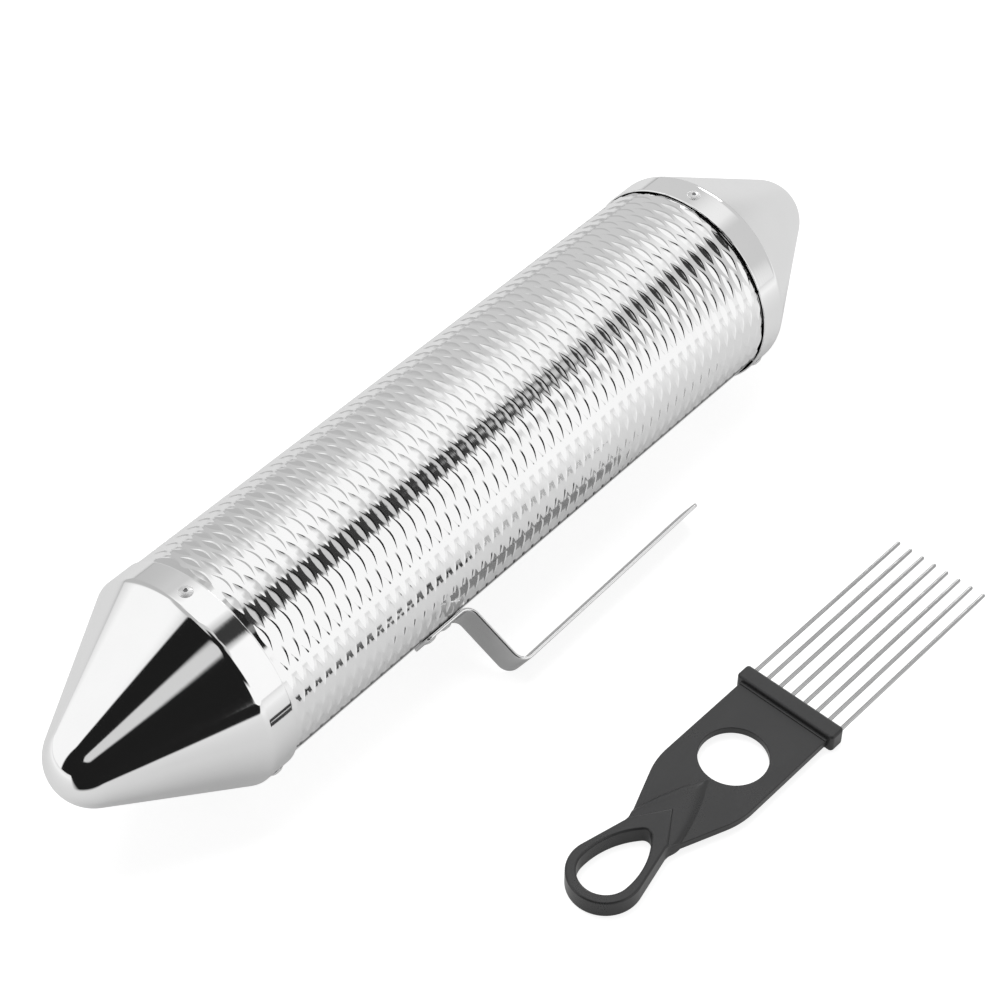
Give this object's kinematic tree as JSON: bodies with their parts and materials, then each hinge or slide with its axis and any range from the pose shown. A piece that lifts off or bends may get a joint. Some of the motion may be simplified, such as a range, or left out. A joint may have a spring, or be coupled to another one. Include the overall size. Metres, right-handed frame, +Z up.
{
  "type": "metal guiro with scraper",
  "caption": "Polished steel guiro: an embossed tube with pointed riveted end caps and an open strap handle, lying beside its wire-toothed comb scraper.",
  "frame": {"origin": "on the table, below the middle of the box round guiro and scraper", "axes": "+X along the guiro's tube from the end nearer the handle's foot, +Y from the scraper toward the guiro, +Z up"},
  "size_m": [0.3804, 0.2014, 0.0827],
  "materials": {
    "tube_steel": "polished, embossed with rows of pressed grains",
    "cap_steel": "mirror polished",
    "strap_steel": "polished",
    "rivet_metal": "bright",
    "stem_steel": "dull broken end",
    "scraper_plastic": "satin moulded",
    "wire_steel": "bright drawn wire"
  },
  "bodies": {
    "guiro": {"body_tube": "tube_steel", "front_cone": "cap_steel", "rear_cone": "cap_steel", "front_rivets": "rivet_metal", "front_mandrels": "stem_steel", "rear_rivets": "rivet_metal", "rear_mandrels": "stem_steel", "handle_strap": "strap_steel", "handle_rivets": "rivet_metal", "handle_mandrels": "stem_steel"},
    "scraper": {"scraper_body": "scraper_plastic", "tine_1": "wire_steel", "tine_2": "wire_steel", "tine_3": "wire_steel", "tine_4": "wire_steel", "tine_5": "wire_steel", "tine_6": "wire_steel", "tine_7": "wire_steel", "tine_8": "wire_steel"}
  },
  "joints": [
    {"name": "scraper_lift", "type": "slide", "parent": "guiro", "child": "scraper", "axis": [0, 0, 1], "range_m": [0, 0.12]}
  ]
}
